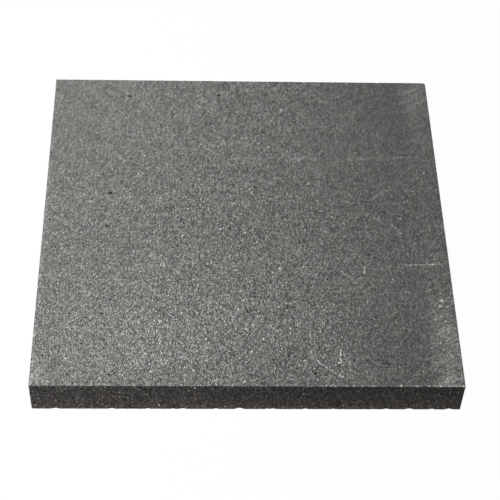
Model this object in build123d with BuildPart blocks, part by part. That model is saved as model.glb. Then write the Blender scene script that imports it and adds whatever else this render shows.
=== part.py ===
from build123d import *
import os

# Graphite plate: one flat square slab with sawn faces and small chips along its edges.
# Sizes are in millimetres. The front edge runs along X, depth runs along +Y and +Z is up.
# The origin is the middle of the underside.

# Overall size of the slab
WIDTH = 101.6
DEPTH = 101.6
THICKNESS = 9.525

# Narrow flats where the saw left the long edges slightly broken
UPPER_EDGE_FLAT = 0.09
LOWER_EDGE_FLAT = 0.05

# Rounds of the upright corners, of which the back right one is knocked rounder
CORNER_RADIUS = 0.3
KNOCKED_CORNER_RADIUS = 0.8

# Chips: the place of each along its edge as a share of that edge, its length and its depth.
# Shares count from the left end, or from the front end on the right hand edge.
LOWER_FRONT_CHIPS = [
    (0.056, 1.9, 0.33),
    (0.186, 1.5, 0.28),
    (0.270, 1.3, 0.25),
    (0.328, 0.9, 0.22),
    (0.351, 1.6, 0.28),
    (0.428, 1.3, 0.25),
    (0.482, 2.3, 0.42),
    (0.547, 1.0, 0.24),
    (0.561, 1.4, 0.30),
    (0.636, 1.5, 0.25),
    (0.701, 1.1, 0.22),
    (0.826, 1.7, 0.28),
    (0.880, 2.2, 0.33),
    (0.932, 1.3, 0.28),
    (0.973, 1.8, 0.35),
]
UPPER_FRONT_CHIPS = [
    (0.788, 0.8, 0.20),
    (0.851, 0.6, 0.18),
    (0.887, 0.8, 0.20),
    (0.936, 1.0, 0.22),
    (0.961, 0.8, 0.21),
    (0.979, 0.6, 0.20),
]
UPPER_BACK_CHIPS = [
    (0.668, 1.0, 0.24),
    (0.869, 0.9, 0.24),
]
UPPER_RIGHT_CHIPS = [
    (0.576, 1.1, 0.22),
]


def chip_edge(start, end, outward, chips):
    """Scoop a shallow round bite out of a straight edge at each chip's place."""
    for share, length, depth in chips:
        radius = (length**2 / 4 + depth**2) / (2 * depth)
        bite_middle = start + (end - start) * share
        ball_centre = bite_middle + outward.normalized() * (radius - depth)
        with Locations(ball_centre):
            Sphere(radius, mode=Mode.SUBTRACT)


os.makedirs("parts", exist_ok=True)

with BuildPart() as plate:
    with BuildSketch() as outline:
        Rectangle(WIDTH, DEPTH)
        diagonal = Axis((0, 0, 0), (1, 1, 0))
        fillet(outline.vertices().sort_by(diagonal)[:-1], radius=CORNER_RADIUS)
        fillet(outline.vertices().sort_by(diagonal)[-1], radius=KNOCKED_CORNER_RADIUS)
    extrude(amount=THICKNESS)
    upper_face = plate.faces().sort_by(Axis.Z)[-1]
    lower_face = plate.faces().sort_by(Axis.Z)[0]
    chamfer(upper_face.edges(), length=UPPER_EDGE_FLAT)
    chamfer(lower_face.edges(), length=LOWER_EDGE_FLAT)

    left, right = -WIDTH / 2, WIDTH / 2
    front, back = -DEPTH / 2, DEPTH / 2
    chip_edge(
        Vector(left, front, 0),
        Vector(right, front, 0),
        Vector(0, -1, -1),
        LOWER_FRONT_CHIPS,
    )
    chip_edge(
        Vector(left, front, THICKNESS),
        Vector(right, front, THICKNESS),
        Vector(0, -1, 1),
        UPPER_FRONT_CHIPS,
    )
    chip_edge(
        Vector(left, back, THICKNESS),
        Vector(right, back, THICKNESS),
        Vector(0, 1, 1),
        UPPER_BACK_CHIPS,
    )
    chip_edge(
        Vector(right, front, THICKNESS),
        Vector(right, back, THICKNESS),
        Vector(1, 0, 1),
        UPPER_RIGHT_CHIPS,
    )

plate.part.label = "plate"
export_step(plate.part, "parts/plate.step")
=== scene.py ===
import math
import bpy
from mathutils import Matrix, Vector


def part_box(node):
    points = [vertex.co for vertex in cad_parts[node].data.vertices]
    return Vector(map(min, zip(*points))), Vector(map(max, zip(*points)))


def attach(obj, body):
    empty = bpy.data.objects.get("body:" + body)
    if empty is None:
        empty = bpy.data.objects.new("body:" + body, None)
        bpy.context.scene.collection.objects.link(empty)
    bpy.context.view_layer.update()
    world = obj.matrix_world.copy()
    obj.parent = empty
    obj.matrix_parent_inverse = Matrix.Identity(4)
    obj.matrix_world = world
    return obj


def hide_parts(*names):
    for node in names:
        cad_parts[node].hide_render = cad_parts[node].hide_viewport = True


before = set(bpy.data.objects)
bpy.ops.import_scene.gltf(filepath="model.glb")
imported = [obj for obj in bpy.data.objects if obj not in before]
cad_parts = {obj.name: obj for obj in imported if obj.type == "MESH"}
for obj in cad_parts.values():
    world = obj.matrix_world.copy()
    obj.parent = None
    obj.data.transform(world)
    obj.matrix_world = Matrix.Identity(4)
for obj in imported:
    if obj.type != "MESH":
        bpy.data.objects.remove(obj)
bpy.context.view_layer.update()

from types import SimpleNamespace as Values

import bpy
import numpy as np
from mathutils import Matrix, Vector, noise
from mathutils.bvhtree import BVHTree
from mathutils.geometry import delaunay_2d_cdt

# A graphite plate: one sawn slab with a grained, pitted and scratched surface and ragged edges.
# Sizes and places are in millimetres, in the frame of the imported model, and are turned into metres
# where they are handed to Blender.
MM = 0.001
LOW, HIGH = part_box("plate")
WIDTH, DEPTH, THICKNESS = np.round((HIGH - LOW) / MM, 3)
HALF_WIDTH, HALF_DEPTH = WIDTH / 2, DEPTH / 2
RANDOM = np.random.default_rng(7)

# Points of the mesh along the edges: rows at these distances from an edge, places near a corner, and the
# steps along an edge that shows closely or not. Then the least gap between any two points of a side, and
# the decimals to which places along an edge, and points that two sides share, count as the same.
EDGE_ROWS = (0.06, 0.13, 0.22, 0.36, 0.6)
CORNER_ROWS = (0.06, 0.13, 0.22, 0.36, 0.6, 0.85)
FINE_STEP = 0.2
PLAIN_STEP = 0.32
POINT_GAP = 0.05
PLACE_DIGITS = 6
POINT_DIGITS = 4

# Points of the mesh inside a side, as shares of its cell: how far apart the rows are, and how far each
# point is shifted at random
ROW_SPACING = 0.9
POINT_SHIFT = 0.2

# Edges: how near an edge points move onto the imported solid, and how far each way it is looked for. Then
# how near an edge it is worn and how deep, by rough noise of a fine and a broad size.
SNAP_REACH = 0.7
LOOK_REACH = 1
WEAR_REACH = 0.4
WEAR_DEPTH = 0.05
LEAST_WEAR = 0.01
FINE_WEAR = 0.5
BROAD_WEAR = 1.6
BROAD_WEAR_SHARE = 0.8
BROAD_WEAR_SHIFT = Vector((9, 4, 2))

# Small pits: how far from the edges they stay, their usual radius, how much that varies, the least and
# greatest radius, and their least and greatest depth as shares of the radius
PIT_MARGIN = 0.9
PIT_RADIUS = 0.15
PIT_VARIATION = 0.36
PIT_RADII = (0.1, 0.38)
PIT_DEPTHS = (0.35, 0.7)

# The form of a pit: the points round it, their least and greatest distance from its middle and the reach
# of its bowl, all three as shares of its radius, and the reach of its painted shade as a share of the
# bowl's
PIT_CORNERS = 6
RING_REACH = (0.85, 1.1)
BOWL_REACH = 0.84
SHADE_REACH = 1.25

# Dark pores on the top face, as (x, y) and a radius. PORE_DEPTH is a share of the radius, and
# PORE_CONTRAST is how much darker their painted shade is than that of the small pits.
PORE_DEPTH = 0.6
PORE_CONTRAST = 5.5
PORES = [
    (-30.6, 44.5, 0.36), (-6.2, 45.2, 0.4), (-34.2, 9.1, 0.4), (-34.8, -2.1, 0.36), (-3.7, -2.7, 0.35),
    (5.5, 31.3, 0.3), (8.7, -29.9, 0.32), (0.3, -29.1, 0.3), (9.7, -41.9, 0.35), (15.8, -47.0, 0.35),
    (32.1, -44.1, 0.26), (33.0, -44.2, 0.3), (-32.2, -47.5, 0.28), (-34.9, -29.6, 0.3),
]

# The long faint line across the back half of the top face, and the stretches where it is brighter
LONG_LINE = [(-2.9, 21.6), (12.0, 21.7), (26.0, 21.6), (33.0, 22.0), (46.0, 22.3)]
BRIGHT_STRETCHES = [
    [(-2.9, 21.6), (5.0, 21.7)],
    [(12.3, 21.8), (19.0, 21.7)],
    [(27.0, 21.7), (32.2, 21.9), (42.8, 22.3)],
]

# Scratches on the top face, as their strength and points (x, y) from the middle of the plate
SCRATCH_WIDTH = 0.2
SCRATCH_STEP = 0.16
SCRATCH_DEPTH = 0.02
SCRATCHES = [
    (0.50, [(39.2, -14.2), (45.3, -14.0), (49.6, -13.8)]),
    (0.66, [(39.7, -14.2), (46.9, -14.0)]),
    (0.12, LONG_LINE),
    *((0.25, points) for points in BRIGHT_STRETCHES),
    (0.42, [(31.5, 7.1), (32.3, 7.3), (33.6, 8.0), (34.5, 9.1), (35.6, 10.0), (37.1, 10.8), (38.2, 10.8)]),
    (0.50, [(42.3, 10.7), (44.1, 10.4)]),
    (0.80, [(16.2, -42.8), (17.0, -44.2), (18.3, -45.1), (19.9, -46.5), (20.6, -47.1), (22.2, -48.0)]),
    (1.00, [(22.1, -40.2), (21.8, -42.4), (22.1, -43.9), (21.4, -44.0)]),
    (0.40, [(29.9, -13.0), (29.6, -14.8)]),
    (0.95, [(29.6, -14.8), (29.3, -16.7)]),
    (0.50, [(29.6, -24.5), (29.5, -26.5)]),
    (0.38, [(23.1, -15.7), (24.5, -17.4), (25.2, -17.6), (26.6, -19.6), (27.1, -20.4)]),
    (0.60, [(-1.5, -22.7), (0.0, -22.7)]),
    (0.70, [(5.7, -33.4), (7.2, -34.8)]),
    (0.50, [(-1.2, -34.1), (0.0, -34.3)]),
    (0.60, [(8.3, 2.0), (7.4, 0.3)]),
    (0.60, [(15.2, -40.4), (14.9, -41.4)]),
    (0.70, [(17.7, -47.9), (18.3, -47.9), (19.0, -48.5)]),
    (0.50, [(17.5, -30.9), (18.5, -32.6)]),
    (0.50, [(2.2, -45.5), (2.5, -46.1)]),
    (0.40, [(37.7, -26.6), (39.1, -26.2)]),
    (0.40, [(33.3, -39.4), (36.4, -39.4)]),
    (0.35, [(15.1, -33.9), (14.9, -37.7)]),
    (0.35, [(37.1, -33.3), (38.7, -34.0), (40.6, -34.6), (42.3, -35.8)]),
    (0.25, [(29.0, -42.3), (30.6, -44.5), (31.9, -44.6)]),
    (0.50, [(24.2, -43.5), (24.0, -46.1)]),
    (0.35, [(28.2, -3.6), (33.0, -3.4)]),
    (0.40, [(37.3, -0.6), (39.3, -4.0)]),
]

# Broad soft lines on the top face: the long one again, and smears near the right edge
SMEAR_WIDTH = 0.6
SMEAR_STEP = 0.4
EDGE_SMEARS = [
    [(43.6, 46.1), (50.2, 49.7)],
    [(42.7, 42.3), (48.5, 45.9)],
    [(43.6, 39.6), (50.0, 44.4)],
    [(46.3, -35.8), (50.1, -33.7)],
    [(43.8, -44.6), (48.5, -42.5)],
    [(39.7, -47.1), (43.1, -45.2)],
    [(45.6, -49.7), (49.1, -48.0)],
]
SMEARS = [
    (0.08, LONG_LINE),
    *((0.15, points) for points in BRIGHT_STRETCHES),
    *((0.22, points) for points in EDGE_SMEARS),
]

# Points along a scratch or smear lie in these rows beside it, and its brightness ends at this distance,
# both as shares of its width
LINE_ROWS = (-1.6, -0.7, 0, 0.7, 1.6)
LINE_REACH = 1.3

# Bright flakes of graphite by side, whose brightness is partly their own and partly painted glints, as
# (x, y) on the top or (x, z) on the front, and a radius. Their brightness ends at FLAKE_REACH radii, and
# the points round each lie in two rings, given by their reach in radii, how many points they have and how
# far they are turned in radians.
FLAKE_STRENGTH = 0.6
FLAKE_REACH = 1.6
FLAKE_RINGS = ((1, 6, 0.3), (1.5, 7, 0))
FLAKES = {
    "top": [
        (-0.3, 28.8, 0.3), (8.2, 36.2, 0.25), (10.5, 39.6, 0.25), (29.5, 16.9, 0.35), (1.7, 11.0, 0.25),
        (11.1, 9.1, 0.25), (17.0, 12.8, 0.25), (18.8, 7.0, 0.25), (1.9, -11.1, 0.3), (6.7, -16.7, 0.25),
        (8.4, -15.6, 0.3), (8.3, -19.4, 0.25), (9.1, -21.0, 0.25), (6.8, -26.9, 0.25), (13.9, -8.7, 0.25),
        (25.1, -5.3, 0.25), (29.9, -13.1, 0.25), (20.3, -21.6, 0.25), (18.9, -9.3, 0.25), (39.5, -3.9, 0.3),
        (39.1, -22.8, 0.3), (4.9, -36.0, 0.4), (0.9, -40.9, 0.25), (-1.0, -49.4, 0.35), (24.1, -44.0, 0.25),
        (24.0, -46.0, 0.25), (25.9, -47.2, 0.3), (-41.1, -33.9, 0.25), (-42.5, -42.9, 0.35),
        (-33.5, -43.7, 0.3), (-31.2, -35.3, 0.4), (47.3, 16.9, 0.3), (41.8, 10.3, 0.25), (33.1, 1.3, 0.25),
        (39.7, 1.0, 0.3), (49.1, -25.4, 0.25), (47.6, -25.4, 0.35), (47.2, -27.0, 0.3), (41.8, 22.5, 0.3),
        (45.3, -13.5, 0.3),
    ],
    "front": [
        (-40.2, 4.5, 0.25), (-35.7, 7.5, 0.2), (-43.5, 1.9, 0.2), (6.3, 4.3, 0.25), (38.3, 9.0, 0.2),
        (38.6, 8.2, 0.2), (41.9, 6.5, 0.2), (42.3, 5.3, 0.2), (42.7, 4.0, 0.2), (41.1, 2.4, 0.25),
    ],
}

# The painted highlight on the rim of the top along its front edge. Its brightness starts and ends at these
# distances from the edge, and it grows from a least to a full one over a range of x. Noise breaks it into
# dashes.
RIM = Values(start=(0.04, 0.12), end=(0.5, 0.22), least=0.04, growth=0.5, over=(0, 25))
DASHES = Values(size=0.9, noise_place=(3, 5), level=0.6, contrast=1.6, limit=1.4)

# Single painted glints on the right half of this rim, as x, with their brightness and reach
GLINT_GLOW = 1.2
GLINT_REACH = 0.3
GLINTS = (29.3, 35.6, 39.3, 42.2, 44.3, 45.1, 46.8, 48.6, 50.2)

# Parts of the top face, as the distances from its middle where each starts and where it is in full
LEFT, RIGHT, FRONT, BACK = (10, 45), (5, 42), (0, 40), (0, 45)

# Where the top face starts and is in full, as heights from its plane, and the same for the painted shade
# below its front rim and, as distances from their own planes, for the sides. A rim reaches EDGE_REACH from
# its edge and grows over EDGE_RANGE of that.
ONTO_TOP = (-0.35, -0.15)
ONTO_RIM = (-0.015, -0.07)
ONTO_SIDE = (-0.4, -0.1)
EDGE_REACH = 0.35
EDGE_RANGE = (0.2, 0.8)

# How strong each part of the grain is: in the middle of the top, and what its parts add to that, then on
# the sides, and what the front face and the end faces add to that. On the top, SPARK follows CRISP.
CRISP = Values(middle=1.03, left=-0.14, right=-0.43, front=0.28, back=-0.6, back_right=-0.52,
               sides=1.08, front_face=0.2, end_faces=-0.3)
LUMPS = Values(middle=0.86, back=0.3, right=0.14, front=-0.22, front_left=-0.35, front_right=0.3,
               sides=1.05, end_faces=-0.3)
SPARK = Values(front_left=-0.8, sides=1.3, front_face=1.0, end_faces=-0.6)
MOTTLE = Values(middle=0.55, left=-0.15, right=0.15, front=-0.35, back=0.5, back_left=-0.2,
                back_right=-0.35, sides=0.5, front_face=0.5)

# Strong grain lifts the mean level, which is taken off again
GRAIN_LIFT = 0.13

# Lighter and darker areas of the top face: middle (x, y), reach (x, y) and how much lighter or darker they
# are
TONED_AREAS = [
    (-8, -34, 32, 16, 0.16), (-30, -42, 18, 12, 0.1), (36, -38, 8, 10, -0.12), (38, 38, 6, 8, -0.03),
    (-43, -8, 6, 8, -0.05), (-45, 40, 8, 25, -0.08), (30, 5, 14, 20, -0.05), (16, -42.4, 1.5, 1.5, 0.25),
    (-22, 8, 18, 16, -0.04),
]

# The band along the right edge of the top: where it starts, how much lighter it is, and what its front
# end adds, of which the back end adds back_share. RUB is the strength of the diagonal rub marks on it.
BAND = Values(across=(42, 46.5), light=0.1, end_light=0.32, front_end=(12, 40), back_end=(22, 42),
              back_share=0.4)
RUB = Values(across=(40, 46), strength=0.4, end_strength=0.5)

# Lighter places along the left edge and in the front left corner of the top, by the distances to the
# left and to the front, the darker rims of its left and right edges, and the shade painted onto the rim
# just below its front edge
LEFT_EDGE = Values(across=(49.4, 50.2), along=(-25, -15), light=0.15)
FRONT_LEFT = Values(across=(44, 50), along=(38, 50), light=0.24)
END_RIM_SHADE = 0.22
FRONT_RIM_PAINTED_SHADE = 1.0

# Painted light and shade on the sides: darker all over, lighter near the foot where the floor's light
# would fall, a little darker at the head, and changing with the distance to the left or right. DARK is the
# painted shade on the right part of the sides, which is darkest above and eases off towards its end.
# WARMTH is how much of the warmer colour the front face has: patches of the graphite's own tint, and more
# near the foot, which is painted warm light from the floor.
SIDE_PAINTED_SHADE = -0.17
FOOT = Values(height=(3.0, 0.5), light=0.3)
HEAD = Values(height=(6, 9), shade=0.06)
LEFT_END = Values(across=(30, 48), light=0.12)
DARK = Values(across=(-20, 25), easing=(22, 34), eased_share=0.4, shade=0.08, above=(2, 9),
              shade_above=0.4, below=(2.5, 0.5), light_below=0.12)
WARMTH = Values(height=(4.5, 1.5), level=0.5, growth=1.5)

# The graphite's colour, and that of its warmer places on the front face, which near the foot is painted
# warm light from the floor
COLOUR = (0.15, 0.1475, 0.141)
WARM_COLOUR = (0.172, 0.148, 0.13)
ROUGHNESS = 0.52
SHINE = 0.06
RELIEF = 0.14

# Grains and clouds of noise in the material, as a size and a strength, round the mean of the noise. The
# grain is stretched by GRAIN_STRETCH, and the lumps are turned by LUMP_TURN radians.
NOISE_MEAN = 0.5
GRAIN_STRETCH = 1.7
CRISP_GRAINS = ((0.23, 0.55), (0.14, 0.84))
LUMP_CLOUD = (0.34, 1.3)
LUMP_TURN = 0.6
MOTTLE_GRAIN = (0.45, 0.5)
MOTTLE_CLOUD = (3.5, 0.5)
MARK_CLOUD = (0.6, 1.6)
WARM_CLOUD = (2.5, 2.5)
RELIEF_CLOUD = (0.36, 1.0)

# Single flakes and holes among the grain, the flakes partly painted glints and the holes painted dark with
# their shade: the size of the cells that hold one each, how strong and how rare they are, and their level
# in a cell's middle with its fall towards the cell's edge
SPECK_SIZE = 0.65
FLAKE_GLOW, FLAKE_RARITY = 1.5, 8.0
HOLE_DARKNESS, HOLE_RARITY = 2.5, 7.0
SPECK_LEVEL, SPECK_FALL = 2.0, 6.4

# Rub marks, as long thin streaks on turned axes, then how strongly marks and painted glints show, how dark
# the painted shade in pits is, and the mean share of the warmer colour
STREAK_SIZES = (5.0, 0.3, 1)
STREAK_TURN = math.radians(28)
STREAK_GLOW = 2.8
MARK_GLOW = 1.55
PORE_DARKNESS = 1.1
WARM_LEVEL = 0.5

# The camera looks down on the front edge from a little to the left, and is rolled slightly.
# CAMERA_RANGE is the nearest and the farthest that it sees.
LENS = 107.06
SENSOR = 36
ELEVATION, SIDEWAYS, ROLL = math.radians(50.25), math.radians(-3.35), math.radians(2.93)
CAMERA_DISTANCE = 383.4
CAMERA_RANGE = (10, 20000)
AIM = np.array([1.66, -1.77, 0.0])

# Light: a soft box near the left side, with its power in watts, a dim world, and a floor that gives
# little light back. Where the floor is seen, it is as light as FLOOR_WHITE, and FLOOR_GLOW of it glows.
KEY_PLACE = (-228, -12, 150)
KEY_AIM = (-113, 4, 0)
KEY_SIZE = 250
KEY_SPREAD = math.radians(46.7)
KEY_POWER = 0.315
WORLD_LIGHT = 0.08
FLOOR_REACH = 3000
FLOOR_BOUNCE = 0.12
FLOOR_WHITE = 0.9
FLOOR_GLOW = 0.98

# The gap between the sides on the map
MAP_GAP = 1.2


class Side:
    """One flat side of the slab, with a corner to count from and the two directions that it runs in."""

    def __init__(self, name, corner, across, up, steps, cell, pits):
        self.name = name
        self.corner = np.array(corner, float)
        self.across, self.up = np.array(across, float), np.array(up, float)
        self.normal = np.cross(self.across, self.up)
        size = np.array([WIDTH, DEPTH, THICKNESS])
        self.width, self.height = abs(self.across) @ size, abs(self.up) @ size
        self.steps = steps  # along its low, high, left and right edges
        self.cell = cell
        self.pits = pits

    def place(self, flat):
        """Where points of this side lie in the frame, from their distances across and up it."""
        return self.corner + flat[:, :1] * self.across + flat[:, 1:] * self.up

    def flat(self, x, height):
        """The distances across and up this side of a point given as x and, on the top y, on the front z."""
        return x - self.corner @ self.across, height - self.corner @ self.up


SIDES = [
    Side("top", (-HALF_WIDTH, -HALF_DEPTH, THICKNESS), (1, 0, 0), (0, 1, 0),
         steps=(FINE_STEP, PLAIN_STEP, PLAIN_STEP, PLAIN_STEP), cell=0.8, pits=1500),
    Side("under", (-HALF_WIDTH, HALF_DEPTH, 0), (1, 0, 0), (0, -1, 0),
         steps=(PLAIN_STEP, FINE_STEP, PLAIN_STEP, PLAIN_STEP), cell=1.6, pits=400),
    Side("front", (-HALF_WIDTH, -HALF_DEPTH, 0), (1, 0, 0), (0, 0, 1),
         steps=(FINE_STEP, FINE_STEP, PLAIN_STEP, PLAIN_STEP), cell=0.5, pits=260),
    Side("back", (HALF_WIDTH, HALF_DEPTH, 0), (-1, 0, 0), (0, 0, 1),
         steps=(PLAIN_STEP,) * 4, cell=0.8, pits=150),
    Side("right", (HALF_WIDTH, -HALF_DEPTH, 0), (0, 1, 0), (0, 0, 1),
         steps=(PLAIN_STEP,) * 4, cell=0.8, pits=150),
    Side("left", (-HALF_WIDTH, HALF_DEPTH, 0), (0, -1, 0), (0, 0, 1),
         steps=(PLAIN_STEP,) * 4, cell=0.8, pits=150),
]


def along(length, step):
    """Places along an edge: even steps, with close rows at both ends for the corners."""
    ends = np.array((0.0,) + CORNER_ROWS)
    inner = length - 2 * ends[-1]
    even = np.linspace(ends[-1], length - ends[-1], max(2, round(inner / step) + 1))
    return np.unique(np.round(np.concatenate([ends, even, length - ends]), PLACE_DIGITS))


def edge_points(side):
    """The points on a side's four edges and on the rows inside them."""
    low, high, left, right = side.steps
    found = []
    for row in (0.0,) + EDGE_ROWS:
        for step, fixed in ((low, row), (high, side.height - row)):
            places = along(side.width, step)
            found.append(np.stack([places, np.full(len(places), fixed)], 1))
        for step, fixed in ((left, row), (right, side.width - row)):
            places = along(side.height, step)
            found.append(np.stack([np.full(len(places), fixed), places], 1))
    return np.concatenate(found)


def fill_points(side):
    """Loosely even points over the inside of a side."""
    margin = EDGE_ROWS[-1] + side.cell / 2
    xs = np.arange(margin, side.width - margin, side.cell)
    ys = np.arange(margin, side.height - margin, side.cell * ROW_SPACING)
    grid = np.stack(np.meshgrid(xs, ys), -1)
    grid[1::2, :, 0] += side.cell / 2
    grid = grid.reshape(-1, 2)
    return grid + RANDOM.uniform(-POINT_SHIFT, POINT_SHIFT, grid.shape) * side.cell


def small_pits(side):
    """Pits scattered over a side, as rows of place across, place up, radius, depth and the darkness of
    their painted shade.
    """
    x = RANDOM.uniform(PIT_MARGIN, side.width - PIT_MARGIN, side.pits)
    y = RANDOM.uniform(PIT_MARGIN, side.height - PIT_MARGIN, side.pits)
    radius = np.clip(RANDOM.lognormal(math.log(PIT_RADIUS), PIT_VARIATION, side.pits), *PIT_RADII)
    depth = radius * RANDOM.uniform(*PIT_DEPTHS, side.pits)
    return np.stack([x, y, radius, depth, np.ones(side.pits)], 1)


def all_pits(side):
    """The small pits of a side, after the listed pores of the top."""
    pits = small_pits(side)
    if side.name != "top":
        return pits
    pores = [(*side.flat(x, y), radius, radius * PORE_DEPTH, PORE_CONTRAST) for x, y, radius in PORES]
    return np.concatenate([pores, pits])


def ring(x, y, radius, count, turn):
    """Points spaced round a circle that is a little uneven."""
    angles = turn + np.arange(count) * 2 * math.pi / count
    reach = radius * RANDOM.uniform(*RING_REACH, count)
    return np.stack([x + reach * np.cos(angles), y + reach * np.sin(angles)], 1)


def line_points(points, step):
    """Points at even steps along a polyline."""
    points = np.array(points, float)
    spans = np.linalg.norm(np.diff(points, axis=0), axis=1)
    reach = np.concatenate([[0], np.cumsum(spans)])
    places = np.linspace(0, reach[-1], max(2, int(reach[-1] / step) + 1))
    return np.stack([np.interp(places, reach, points[:, k]) for k in (0, 1)], 1)


def distance_to_line(flat, points):
    """How far each flat point is from a polyline."""
    best = np.full(len(flat), np.inf)
    points = np.array(points, float)
    for a, b in zip(points[:-1], points[1:]):
        span = b - a
        share = np.clip(((flat - a) @ span) / (span @ span), 0, 1)
        best = np.minimum(best, np.linalg.norm(flat - a - share[:, None] * span, axis=1))
    return best


def line_rows(side, points, step, width):
    """Close rows of points along both sides of a line, so that it has a shape of its own."""
    middle = line_points([side.flat(x, y) for x, y in points], step)
    tangent = np.gradient(middle, axis=0)
    tangent /= np.linalg.norm(tangent, axis=1)[:, None]
    across = np.stack([-tangent[:, 1], tangent[:, 0]], 1)
    return [middle + across * row * width for row in LINE_ROWS]


def mark_points(side):
    """Close points round each scratch, smear and flake of a side."""
    found = []
    if side.name == "top":
        for _, points in SCRATCHES:
            found += line_rows(side, points, SCRATCH_STEP, SCRATCH_WIDTH)
        for _, points in SMEARS:
            found += line_rows(side, points, SMEAR_STEP, SMEAR_WIDTH)
    for x, height, radius in FLAKES.get(side.name, []):
        middle = side.flat(x, height)
        found.append(np.array([middle]))
        found += [ring(*middle, radius * reach, count, turn) for reach, count, turn in FLAKE_RINGS]
    return found


def thin_out(points, gap):
    """Drops each point that lies within a gap of an earlier one."""
    kept, cells = [], {}
    for i, (x, y) in enumerate(points):
        cx, cy = int(x // gap), int(y // gap)
        near = (j for dx in (-1, 0, 1) for dy in (-1, 0, 1) for j in cells.get((cx + dx, cy + dy), ()))
        if all((points[j][0] - x) ** 2 + (points[j][1] - y) ** 2 >= gap * gap for j in near):
            cells.setdefault((cx, cy), []).append(i)
            kept.append(i)
    return points[kept]


def triangulate(points):
    """Triangles over all the points, as rows of three indices."""
    no_edges, no_faces, triangles, tolerance = [], [], 0, 1e-7
    found = delaunay_2d_cdt([Vector(p) for p in points], no_edges, no_faces, triangles, tolerance)
    return np.array([v.to_tuple() for v in found[0]]), np.array(found[2])


def build_side(side):
    """The flat points and triangles of one side, with its pits."""
    pits = all_pits(side)
    parts = [edge_points(side)] + mark_points(side)
    for x, y, radius, _, _ in pits:
        turn = RANDOM.uniform(0, math.pi)
        parts += [np.array([[x, y]]), ring(x, y, radius, PIT_CORNERS, turn)]
    parts.append(fill_points(side))
    flat, faces = triangulate(thin_out(np.concatenate(parts), POINT_GAP))
    return flat, faces, pits


def pit_fields(flat, pits):
    """How deep each flat point lies in a pit, and how dark the shade painted in and round the pit makes it.
    """
    depth, shade = np.zeros(len(flat)), np.zeros(len(flat))
    order = np.argsort(flat[:, 0])
    xs = flat[order, 0]
    for x, y, radius, deep, darkness in pits:
        bowl = radius * BOWL_REACH
        first, last = np.searchsorted(xs, (x - bowl * SHADE_REACH, x + bowl * SHADE_REACH))
        near = order[first:last]
        away = np.linalg.norm(flat[near] - (x, y), axis=1) / bowl
        depth[near] = np.maximum(depth[near], deep * np.clip(1 - away**2, 0, 1))
        shade[near] = np.maximum(shade[near], darkness * np.clip(SHADE_REACH - away, 0, 1))
    return depth, shade


def bright_marks(flat, side):
    """The strength of scratches, smears and flakes, the flakes partly painted glints, at each flat point of
    a side.
    """
    marks = np.zeros(len(flat))
    lines = []
    if side.name == "top":
        lines = [(strength, SCRATCH_WIDTH, points) for strength, points in SCRATCHES]
        lines += [(strength, SMEAR_WIDTH, points) for strength, points in SMEARS]
    for strength, width, points in lines:
        away = distance_to_line(flat, [side.flat(x, y) for x, y in points]) / width
        marks = np.maximum(marks, strength * np.clip(LINE_REACH - away, 0, 1))
    for x, height, radius in FLAKES.get(side.name, []):
        away = np.linalg.norm(flat - side.flat(x, height), axis=1) / radius
        marks = np.maximum(marks, FLAKE_STRENGTH * np.clip(FLAKE_REACH - away, 0, 1))
    return marks


def build_slab():
    """The slab as one closed mesh, still with flat sides and sharp edges.

    Gives its points, its faces and the number of each face's side, and for each point which way is
    inwards, how deep it is to be pressed in, its painted pit shade and its brightness.
    """
    places, faces, normals, marked, side_of = [], [], [], [], []
    count = 0
    for number, side in enumerate(SIDES):
        flat, triangles, pits = build_side(side)
        depth, shade = pit_fields(flat, pits)
        marks = bright_marks(flat, side)
        depth = np.maximum(depth, SCRATCH_DEPTH * marks)
        places.append(side.place(flat))
        normals.append(np.tile(side.normal, (len(flat), 1)))
        marked.append(np.stack([depth, shade, marks]))
        faces.append(triangles + count)
        side_of.append(np.full(len(triangles), number))
        count += len(flat)
    places, normals = np.concatenate(places), np.concatenate(normals)

    # Points that two sides share become one
    rounded = np.round(places, POINT_DIGITS)
    _, first, shared = np.unique(rounded, axis=0, return_index=True, return_inverse=True)
    shared = shared.ravel()
    inward = np.zeros((len(first), 3))
    np.add.at(inward, shared, -normals)
    inward /= np.linalg.norm(inward, axis=1)[:, None]
    depth, shade, marks = np.concatenate(marked, axis=1)[:, first]
    faces, side_of = shared[np.concatenate(faces)], np.concatenate(side_of)
    return places[first], faces, side_of, inward, depth, shade, marks


def nearness(places, reach):
    """Which way is out, and how near each point is to the planes of the sides along x, y and z, up to 1."""
    middle = np.array([0, 0, THICKNESS / 2])
    half = np.array([HALF_WIDTH, HALF_DEPTH, THICKNESS / 2])
    away = places - middle
    return np.sign(away), np.clip(1 - (half - np.abs(away)) / reach, 0, 1)


def snapped(places):
    """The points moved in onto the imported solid, which carries the chips, rounds and broken edges."""
    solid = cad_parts["plate"].data
    corners = [vertex.co / MM for vertex in solid.vertices]
    tree = BVHTree.FromPolygons(corners, [face.vertices[:] for face in solid.polygons])
    out, near = nearness(places, SNAP_REACH)
    inward = -out * near
    inward /= np.linalg.norm(inward, axis=1)[:, None]
    found = places.copy()
    for i in np.flatnonzero((near > 0).sum(1) > 1):
        start, way = Vector(places[i] - inward[i] * LOOK_REACH), Vector(inward[i])
        hit = tree.ray_cast(start, way, 2 * LOOK_REACH)[0]
        found[i] = hit or tree.find_nearest(Vector(places[i]))[0]
    return found


def edge_wear(places):
    """How each point near an edge moves inwards, so that the edges are finely ragged."""
    out, near = nearness(places, WEAR_REACH)
    edge = np.sort(near, axis=1)[:, 1]
    depth = np.zeros(len(places))
    for i in np.flatnonzero(edge > 0):
        place = Vector(places[i])
        fine = abs(noise.noise(place / FINE_WEAR))
        broad = abs(noise.noise(place / BROAD_WEAR + BROAD_WEAR_SHIFT))
        depth[i] = edge[i] * (LEAST_WEAR + WEAR_DEPTH * (fine + BROAD_WEAR_SHARE * broad))
    return -out * near * depth[:, None]


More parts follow.
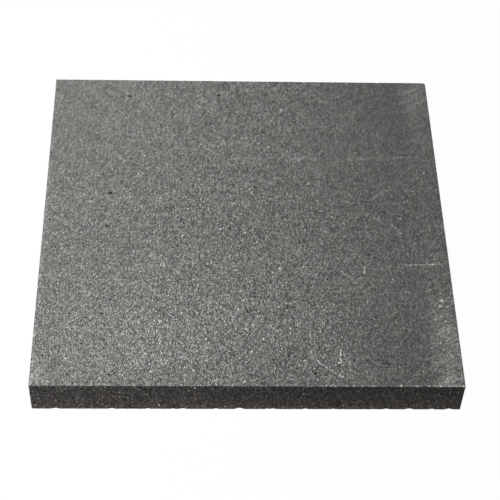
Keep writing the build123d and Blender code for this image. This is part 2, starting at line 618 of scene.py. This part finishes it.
def fade(value, limits):
    """Goes smoothly from 0 to 1 while a value goes from the first limit to the second."""
    start, end = limits
    share = np.clip((value - start) / (end - start), 0, 1)
    return share * share * (3 - 2 * share)


def near_edge(near, first, second):
    """How near each point is to the edge between two planes, from 0 to 1."""
    return fade(np.minimum(near[:, first], near[:, second]), EDGE_RANGE)


def painted_rim_glints(places):
    """The painted highlight along the top's front rim, in broken dashes and single glints."""
    x, y, z = places.T
    inside = y + HALF_DEPTH
    rim = fade(inside, RIM.start) * fade(inside, RIM.end) * (z > THICKNESS / 2)
    dashes = np.array([noise.noise(Vector((place / DASHES.size, *DASHES.noise_place))) for place in x])
    dashes = np.clip(DASHES.level + DASHES.contrast * dashes, 0, DASHES.limit)
    glow = (RIM.least + RIM.growth * fade(x, RIM.over)) * dashes
    for place in GLINTS:
        glow = np.maximum(glow, GLINT_GLOW * np.exp(-((x - place) / GLINT_REACH) ** 2))
    return rim * glow


def top_tone(x, y, band_end):
    """How much lighter or darker each place of the top is."""
    tone = fade(x, BAND.across) * (BAND.light + BAND.end_light * band_end)
    for place in (LEFT_EDGE, FRONT_LEFT):
        tone += place.light * fade(-x, place.across) * fade(-y, place.along)
    for middle_x, middle_y, reach_x, reach_y, change in TONED_AREAS:
        tone += change * np.exp(-((x - middle_x) / reach_x) ** 2 - ((y - middle_y) / reach_y) ** 2)
    return tone


def painted_side_light(x, z):
    """The painted light and shade at each place of the sides, as how much lighter or darker it is."""
    tone = SIDE_PAINTED_SHADE + FOOT.light * fade(z, FOOT.height) - HEAD.shade * fade(z, HEAD.height)
    tone += LEFT_END.light * fade(-x, LEFT_END.across)
    dark = fade(x, DARK.across) - DARK.eased_share * fade(x, DARK.easing)
    tone -= dark * (DARK.shade + DARK.shade_above * fade(z, DARK.above))
    return tone + dark * DARK.light_below * fade(z, DARK.below)


def surface_fields(places):
    """What the material reads at each point: strengths of its parts, and how light or dark the place is,
    with the painted light and shade of the sides and the front rim.
    """
    x, y, z = places.T
    left, right = fade(-x, LEFT), fade(x, RIGHT)
    front, back = fade(-y, FRONT), fade(y, BACK)
    on_top = fade(z - THICKNESS, ONTO_TOP)
    on_front = fade(-y - HALF_DEPTH, ONTO_SIDE) * (1 - on_top)
    on_ends = fade(np.abs(x) - HALF_WIDTH, ONTO_SIDE) * (1 - on_top) * (1 - on_front)

    crisp = CRISP.middle + CRISP.left * left + CRISP.right * right
    crisp *= 1 + CRISP.front * front + CRISP.back * back
    crisp *= 1 + CRISP.back_right * right * back
    spark = crisp * (1 + SPARK.front_left * left * front)
    lumps = LUMPS.middle + LUMPS.back * back * (1 - right) + LUMPS.right * right
    lumps += front * (LUMPS.front + LUMPS.front_left * left + LUMPS.front_right * right)
    lumps *= crisp
    mottle = MOTTLE.middle + MOTTLE.left * left + MOTTLE.right * right * (1 - back)
    mottle += MOTTLE.front * front
    mottle += back * (MOTTLE.back + MOTTLE.back_left * left + MOTTLE.back_right * right)

    sides = CRISP.sides + CRISP.front_face * on_front + CRISP.end_faces * on_ends
    crisp = sides + on_top * (crisp - CRISP.sides)
    sides = LUMPS.sides + LUMPS.end_faces * on_ends
    lumps = sides + on_top * (lumps - LUMPS.sides)
    sides = SPARK.sides + SPARK.front_face * on_front + SPARK.end_faces * on_ends
    spark = sides + on_top * (spark - SPARK.sides)
    sides = MOTTLE.sides + MOTTLE.front_face * on_front
    mottle = sides + on_top * (mottle - MOTTLE.sides)

    out, near = nearness(places, EDGE_REACH)
    upper = near * (out[:, 2:] > 0)
    # Painted shade on the rim just below the top's front edge, so that it is as dark as the front face
    painted_rim_shade = near_edge(upper * (out[:, 1:2] < 0), 1, 2) * fade(z - THICKNESS, ONTO_RIM)
    band_end = np.maximum(fade(-y, BAND.front_end), BAND.back_share * fade(y, BAND.back_end))
    tone = on_top * (top_tone(x, y, band_end) - END_RIM_SHADE * near_edge(upper, 0, 2))
    # Below the top: the painted light and shade of the sides, less the painted shade on the front rim
    tone += (1 - on_top) * painted_side_light(x, z) - FRONT_RIM_PAINTED_SHADE * painted_rim_shade
    tone += GRAIN_LIFT * (1 - crisp**2)
    return {
        "crisp": crisp,
        "lumps": lumps,
        "spark": spark,
        "mottle": mottle,
        "tone": tone,
        "streak": fade(x, RUB.across) * (RUB.strength + RUB.end_strength * band_end) * on_top,
        # Warm patches on the front face, and more near its foot as painted warm light from the floor
        "warm": on_front * (WARMTH.level + WARMTH.growth * fade(z, WARMTH.height)),
    }


def add_map(mesh, faces, places, side_of):
    """A map that gives the top side the most room and lays the other sides round it."""
    upright = ("front", "back", "right", "left")
    room = WIDTH + THICKNESS * len(upright) + MAP_GAP * (len(upright) + 3)
    under_scale = (room - DEPTH - MAP_GAP * 3) / WIDTH
    spots = {
        "top": (MAP_GAP, MAP_GAP, 1),
        "under": (MAP_GAP, DEPTH + MAP_GAP * 2, under_scale),
    }
    for number, name in enumerate(upright):
        spots[name] = (WIDTH + MAP_GAP * 2 + (THICKNESS + MAP_GAP) * number, MAP_GAP, 1)
    corners = places[faces]
    flat = np.zeros(faces.shape + (2,))
    for number, side in enumerate(SIDES):
        mine = side_of == number
        from_corner = corners[mine] - side.corner
        across, up = from_corner @ side.across, from_corner @ side.up
        if side.name in upright:
            across, up = side.height - up, across
        x, y, scale = spots[side.name]
        flat[mine] = np.stack([x + across * scale, y + up * scale], -1)
    layer = mesh.uv_layers.new(name="OFBake")
    layer.uv.foreach_set("vector", (flat / room).astype(np.float32).ravel())


def make_object(places, faces, side_of, fields):
    """The plate's mesh object, with its map and the fields that its material reads."""
    mesh = bpy.data.meshes.new("plate_body")
    mesh.from_pydata((places * MM).tolist(), [], faces.tolist())
    mesh.update()
    for name, values in fields.items():
        layer = mesh.attributes.new(name, "FLOAT", "POINT")
        layer.data.foreach_set("value", values.astype(np.float32))
    mesh.polygons.foreach_set("use_smooth", np.ones(len(mesh.polygons), bool))
    add_map(mesh, faces, places, side_of)
    piece = bpy.data.objects.new("graphite_plate", mesh)
    bpy.context.scene.collection.objects.link(piece)
    return piece


class Shading:
    """Short ways to add nodes to one material or world."""

    def __init__(self, owner, output="ShaderNodeOutputMaterial"):
        owner.use_nodes = True
        self.owner, self.nodes, self.links = owner, owner.node_tree.nodes, owner.node_tree.links
        self.nodes.clear()
        self.output = self.nodes.new(output)

    def feed(self, socket, value):
        """Gives a socket a number, a colour or another node's output."""
        if isinstance(value, bpy.types.NodeSocket):
            self.links.new(value, socket)
        else:
            socket.default_value = value

    def math(self, operation, *values):
        """One step of arithmetic on numbers."""
        made = self.nodes.new("ShaderNodeMath")
        made.operation = operation
        for socket, value in zip(made.inputs, values):
            self.feed(socket, value)
        return made.outputs[0]

    def total(self, first, *others):
        """The sum of several numbers."""
        for other in others:
            first = self.math("ADD", first, other)
        return first

    def take(self, first, second):
        """The first number less the second."""
        return self.math("SUBTRACT", first, second)

    def times(self, first, second):
        """The product of two numbers."""
        return self.math("MULTIPLY", first, second)

    def held(self, value):
        """A number held between 0 and 1."""
        return self.math("MINIMUM", self.math("MAXIMUM", value, 0.0), 1.0)

    def vector_math(self, operation, vector, other, output="Vector"):
        """One step of arithmetic on a vector and another, or on a vector and a number."""
        made = self.nodes.new("ShaderNodeVectorMath")
        made.operation = operation
        self.feed(made.inputs[0], vector)
        self.feed(made.inputs["Scale" if operation == "SCALE" else 1], other)
        return made.outputs[output]

    def turned(self, vector, angle):
        """The same places counted along axes turned by this angle about Z."""
        made = self.nodes.new("ShaderNodeVectorRotate")
        made.rotation_type = "Z_AXIS"
        self.feed(made.inputs["Vector"], vector)
        self.feed(made.inputs["Angle"], -angle)
        return made.outputs[0]

    def blend(self, share, first, second):
        """A vector or colour between two others, by the share of the second."""
        made = self.nodes.new("ShaderNodeMix")
        made.data_type = "VECTOR"
        self.feed(made.inputs[0], share)
        self.feed(made.inputs[4], first)
        self.feed(made.inputs[5], second)
        return made.outputs[1]

    def cloud(self, where, size, strength, detail=2.0):
        """Smooth noise round 0, with lumps of about this size."""
        made = self.nodes.new("ShaderNodeTexNoise")
        self.feed(made.inputs["Vector"], where)
        self.feed(made.inputs["Scale"], 1 / size)
        self.feed(made.inputs["Detail"], detail)
        return self.times(self.take(made.outputs[0], NOISE_MEAN), strength)

    def cells(self, where, size):
        """Cells of about this size, as three random numbers from 0 to 1 and the distance to the middle."""
        made = self.nodes.new("ShaderNodeTexVoronoi")
        self.feed(made.inputs["Vector"], where)
        self.feed(made.inputs["Scale"], 1 / size)
        split = self.nodes.new("ShaderNodeSeparateColor")
        self.links.new(made.outputs["Color"], split.inputs[0])
        return split.outputs, made.outputs["Distance"]

    def grain(self, where, size, strength):
        """Grains of about this size, each with a random number round 0 that is seldom far from it."""
        random, _ = self.cells(where, size)
        return self.times(self.take(self.total(*random), len(random) * NOISE_MEAN), strength)

    def seen(self):
        """1 where the camera, a reflection or a view through glass looks at this, and 0 for its light."""
        path = self.nodes.new("ShaderNodeLightPath").outputs
        mirrored = self.math("MAXIMUM", path["Is Glossy Ray"], path["Is Transmission Ray"])
        return self.math("MAXIMUM", path["Is Camera Ray"], mirrored)

    def field(self, name):
        """A number that the mesh carries at each point."""
        made = self.nodes.new("ShaderNodeAttribute")
        made.attribute_name = name
        return made.outputs["Fac"]


def stretched_places(shading, even, normal):
    """Places whose grain is stretched along Y and Z, but only upwards on the left and right sides."""
    sideways = shading.math("ABSOLUTE", shading.vector_math("DOT_PRODUCT", normal, (1, 0, 0), "Value"))
    on_ends = shading.math("GREATER_THAN", sideways, 0.5)  # the normal there lies along X
    stretch = shading.blend(on_ends, (1, GRAIN_STRETCH, GRAIN_STRETCH), (1, 1, GRAIN_STRETCH))
    return shading.vector_math("DIVIDE", even, stretch)


def specks(shading, where):
    """Bright flakes, partly painted glints, and holes painted dark with shade, in cells' middles; few hold
    a strong one.
    """
    random, distance = shading.cells(where, SPECK_SIZE)
    near = shading.held(shading.take(SPECK_LEVEL, shading.times(distance, SPECK_FALL)))
    flake = shading.times(shading.math("POWER", random[0], FLAKE_RARITY), FLAKE_GLOW)
    hole = shading.times(shading.math("POWER", random[1], HOLE_RARITY), HOLE_DARKNESS)
    flake = shading.times(flake, shading.field("spark"))
    hole = shading.times(hole, shading.field("crisp"))
    return shading.times(shading.take(flake, hole), near)


def colour_level(shading, even, where):
    """How light the graphite is. Its parts add up to an exponent, so that light grains stand out more."""
    crisp = shading.total(*(shading.grain(where, *kind) for kind in CRISP_GRAINS))
    lumps = shading.cloud(shading.turned(where, LUMP_TURN), *LUMP_CLOUD, detail=0.0)
    mottle = shading.total(shading.grain(where, *MOTTLE_GRAIN), shading.cloud(even, *MOTTLE_CLOUD))
    along_streaks = shading.vector_math("DIVIDE", shading.turned(even, STREAK_TURN), STREAK_SIZES)
    streak = shading.held(shading.cloud(along_streaks, 1, STREAK_GLOW, detail=1.0))
    mark_and_glint = shading.total(shading.cloud(even, *MARK_CLOUD), MARK_GLOW)
    exponent = shading.total(
        shading.times(crisp, shading.field("crisp")),
        shading.times(lumps, shading.field("lumps")),
        specks(shading, where),
        shading.times(mottle, shading.field("mottle")),
        shading.times(streak, shading.field("streak")),
        shading.field("tone"),
        shading.times(mark_and_glint, shading.field("mark_and_glint")),
    )
    # Painted shade in and round the pits, darker still in the listed pores
    exponent = shading.take(exponent, shading.times(shading.field("painted_pit_shade"), PORE_DARKNESS))
    return shading.math("EXPONENT", exponent)


def graphite_material():
    """Dark grey graphite: crisp light and dark grains, flakes, pores, worn areas and bright scratches."""
    shading = Shading(bpy.data.materials.new("graphite"))
    place = shading.nodes.new("ShaderNodeTexCoord").outputs
    even = shading.vector_math("SCALE", place["Object"], 1 / MM)
    where = stretched_places(shading, even, place["Normal"])
    level = colour_level(shading, even, where)
    # The warmer colour on the front face: the graphite's own patches, and painted warm light near its foot
    patches = shading.held(shading.total(shading.cloud(even, *WARM_CLOUD), WARM_LEVEL))
    warm = shading.times(shading.field("warm"), patches)
    colour = shading.blend(warm, COLOUR, WARM_COLOUR)

    shader = shading.nodes.new("ShaderNodeBsdfPrincipled")
    shading.links.new(shader.outputs[0], shading.output.inputs[0])
    shading.feed(shader.inputs["Base Color"], shading.vector_math("SCALE", colour, level))
    shading.feed(shader.inputs["Roughness"], ROUGHNESS)
    shading.feed(shader.inputs["Specular IOR Level"], SHINE)
    bump = shading.nodes.new("ShaderNodeBump")
    shading.feed(bump.inputs["Height"], shading.cloud(even, *RELIEF_CLOUD))
    shading.feed(bump.inputs["Strength"], shading.field("crisp"))
    shading.feed(bump.inputs["Distance"], RELIEF * MM)
    shading.links.new(bump.outputs[0], shader.inputs["Normal"])
    return shading.owner


def make_plate():
    """The dressed plate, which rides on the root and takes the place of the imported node."""
    places, faces, side_of, inward, depth, shade, marks = build_slab()
    places = snapped(places)
    places = places + edge_wear(places) + inward * depth[:, None]
    # The darkness in and round the pits is painted shade
    # The marks take in the painted glints along the top's front rim
    fields = surface_fields(places) | {"painted_pit_shade": shade, "mark_and_glint": np.maximum(marks, painted_rim_glints(places))}
    piece = make_object(places, faces, side_of, fields)
    piece.data.materials.append(graphite_material())
    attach(piece, "root")
    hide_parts("plate")


def make_camera():
    """The camera, turned about its aim by its elevation, its step to the side and its roll."""
    back = np.array([
        math.sin(SIDEWAYS) * math.cos(ELEVATION),
        -math.cos(SIDEWAYS) * math.cos(ELEVATION),
        math.sin(ELEVATION),
    ])
    level = np.array([math.cos(SIDEWAYS), math.sin(SIDEWAYS), 0])
    upright = np.cross(back, level)
    right = math.cos(ROLL) * level + math.sin(ROLL) * upright
    up = -math.sin(ROLL) * level + math.cos(ROLL) * upright
    data = bpy.data.cameras.new("camera")
    data.lens, data.sensor_width = LENS, SENSOR
    data.clip_start, data.clip_end = (reach * MM for reach in CAMERA_RANGE)
    camera = bpy.data.objects.new("camera", data)
    turn = Matrix((right, up, back)).transposed().to_4x4()
    camera.matrix_world = Matrix.Translation((AIM + back * CAMERA_DISTANCE) * MM) @ turn
    bpy.context.scene.collection.objects.link(camera)
    bpy.context.scene.camera = camera


def make_lamp():
    """A square soft box that faces its aim, with its light kept within an angle."""
    data = bpy.data.lights.new("key", "AREA")
    data.size, data.spread, data.energy = KEY_SIZE * MM, KEY_SPREAD, KEY_POWER
    lamp = bpy.data.objects.new("key", data)
    place, aim = Vector(KEY_PLACE) * MM, Vector(KEY_AIM) * MM
    lamp.location = place
    lamp.rotation_euler = (aim - place).to_track_quat("-Z", "Y").to_euler()
    lamp.visible_camera = False
    bpy.context.scene.collection.objects.link(lamp)


def make_floor():
    """A pale floor that reads white, keeps a faint shadow and gives the object little light."""
    mesh = bpy.data.meshes.new("floor")
    reach = FLOOR_REACH * MM
    corners = [(-reach, -reach, 0), (reach, -reach, 0), (reach, reach, 0), (-reach, reach, 0)]
    mesh.from_pydata(corners, [], [(0, 1, 2, 3)])
    floor = bpy.data.objects.new("floor", mesh)
    bpy.context.scene.collection.objects.link(floor)
    shading = Shading(bpy.data.materials.new("floor"))
    seen = shading.seen()
    glow = shading.nodes.new("ShaderNodeEmission")
    paint = shading.nodes.new("ShaderNodeBsdfDiffuse")
    albedo = shading.total(FLOOR_BOUNCE, shading.times(seen, FLOOR_WHITE - FLOOR_BOUNCE))
    shading.links.new(albedo, paint.inputs["Color"])
    blend = shading.nodes.new("ShaderNodeMixShader")
    shading.feed(blend.inputs[0], shading.times(seen, FLOOR_GLOW))
    shading.links.new(paint.outputs[0], blend.inputs[1])
    shading.links.new(glow.outputs[0], blend.inputs[2])
    shading.links.new(blend.outputs[0], shading.output.inputs[0])
    mesh.materials.append(shading.owner)


def make_world():
    """Dim even light all round, which is seen as white."""
    shading = Shading(bpy.data.worlds.new("studio"), "ShaderNodeOutputWorld")
    back = shading.nodes.new("ShaderNodeBackground")
    shading.feed(back.inputs["Color"], (1, 1, 1, 1))
    extra = shading.times(shading.seen(), 1 - WORLD_LIGHT)
    shading.feed(back.inputs["Strength"], shading.total(extra, WORLD_LIGHT))
    shading.links.new(back.outputs[0], shading.output.inputs[0])
    bpy.context.scene.world = shading.owner


make_camera()
make_plate()
make_floor()
make_world()
make_lamp()
bpy.context.scene.view_settings.view_transform = "Standard"
